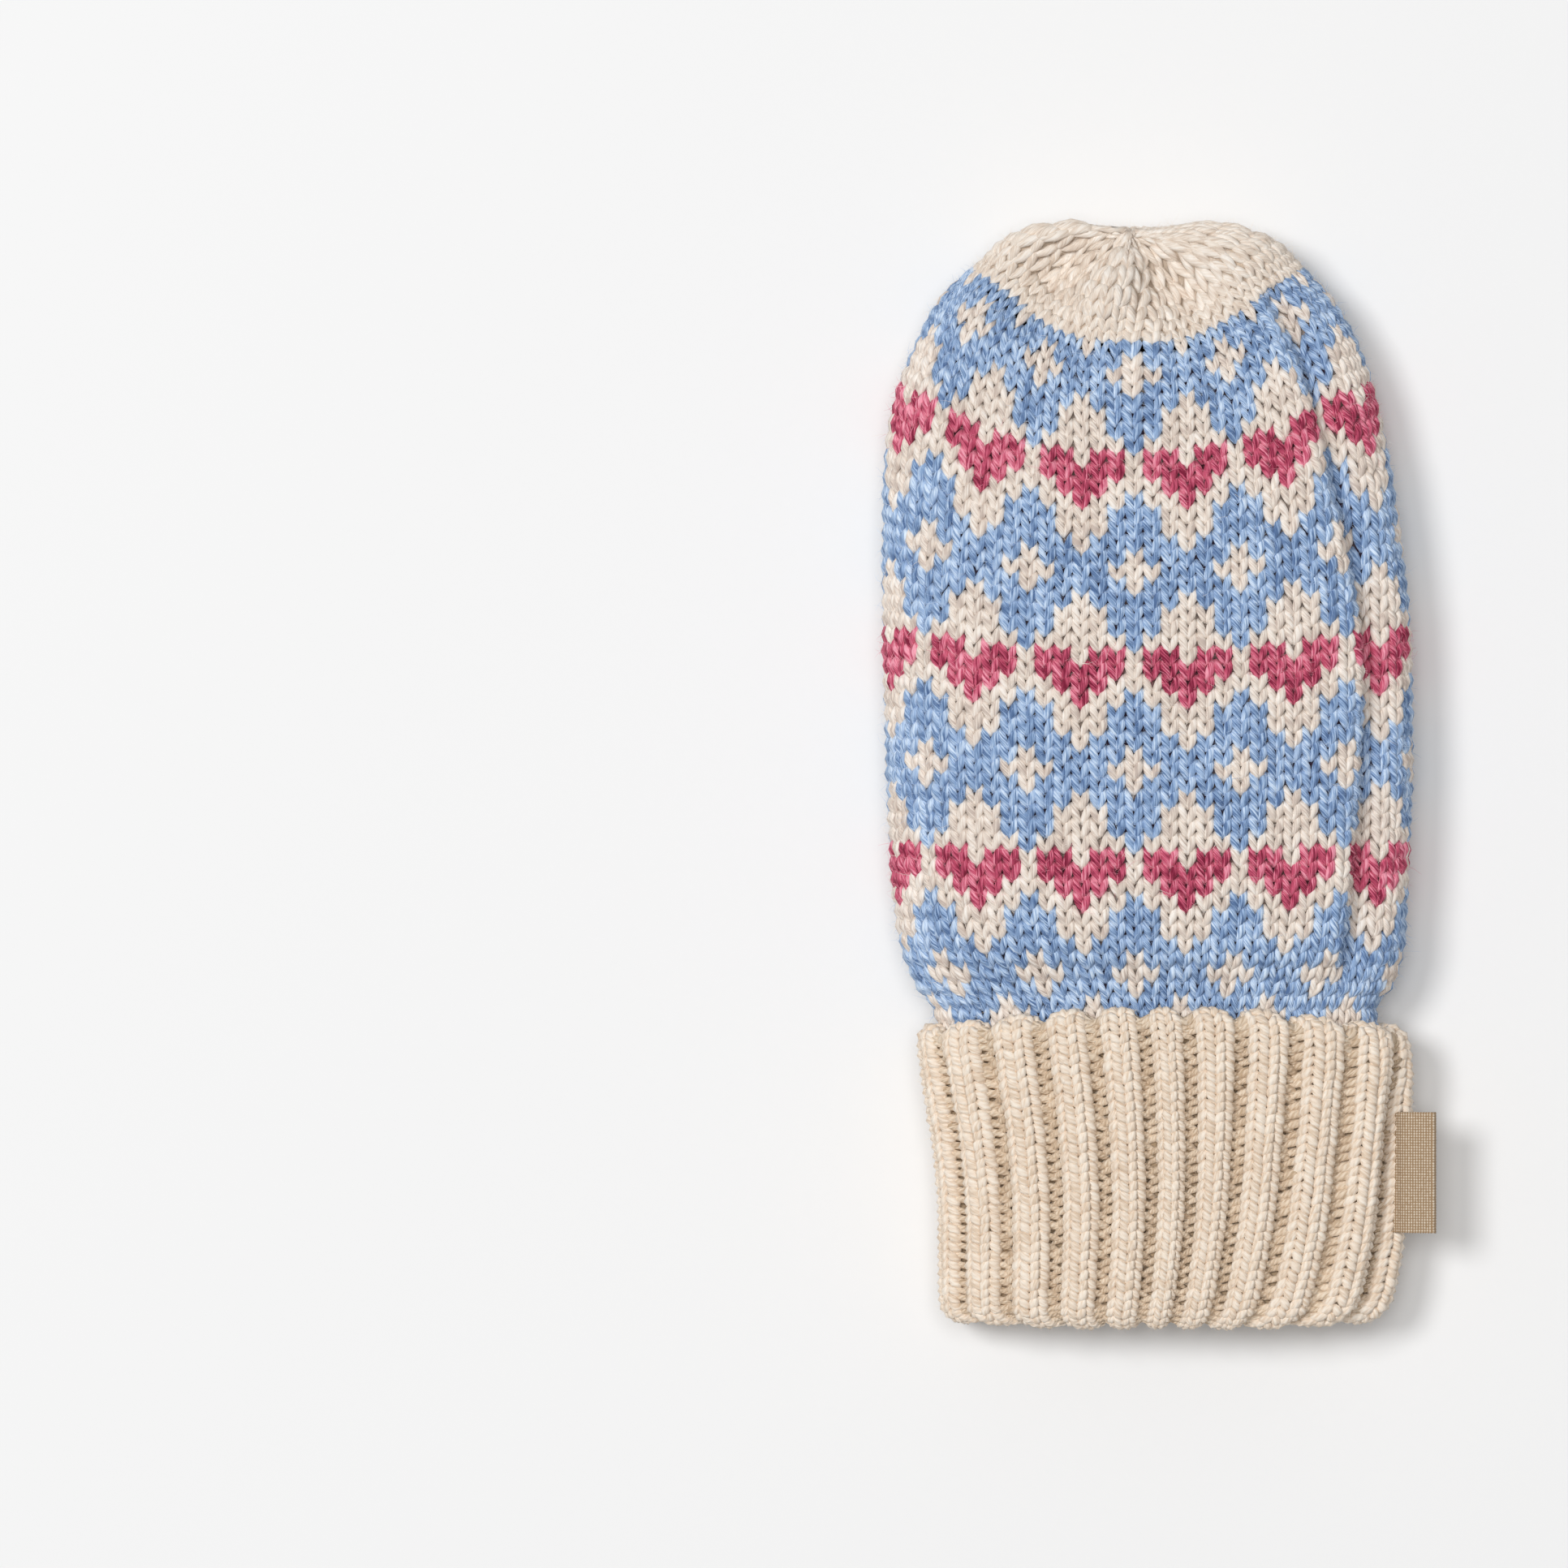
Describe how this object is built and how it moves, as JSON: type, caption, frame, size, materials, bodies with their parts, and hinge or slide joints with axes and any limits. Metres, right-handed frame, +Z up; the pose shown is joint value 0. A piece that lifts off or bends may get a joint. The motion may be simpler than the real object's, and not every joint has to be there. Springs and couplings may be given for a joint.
{
  "type": "wool mitten",
  "caption": "Thumbless child's wool mitten with a hearts and flowers colourwork hand, a plain gathered crown, a turned-up ribbed cuff and a bare ribbon label.",
  "frame": {"origin": "middle of the flat underside that the lying mitten rests on", "axes": "+Y towards the fingertips, +X towards the side with the label, +Z up out of the front of the mitten"},
  "size_m": [0.0779, 0.1566, 0.027],
  "materials": {
    "blue_wool": "soft fuzzy knitted wool",
    "cream_wool": "soft fuzzy knitted wool",
    "pink_wool": "soft fuzzy knitted wool",
    "cuff_wool": "smooth plied wool in ribs",
    "label_ribbon": "woven linen ribbon, bare"
  },
  "bodies": {
    "root": {"hand": "blue_wool", "crown": "cream_wool", "cuff": "cuff_wool", "label": "label_ribbon"}
  },
  "joints": []
}
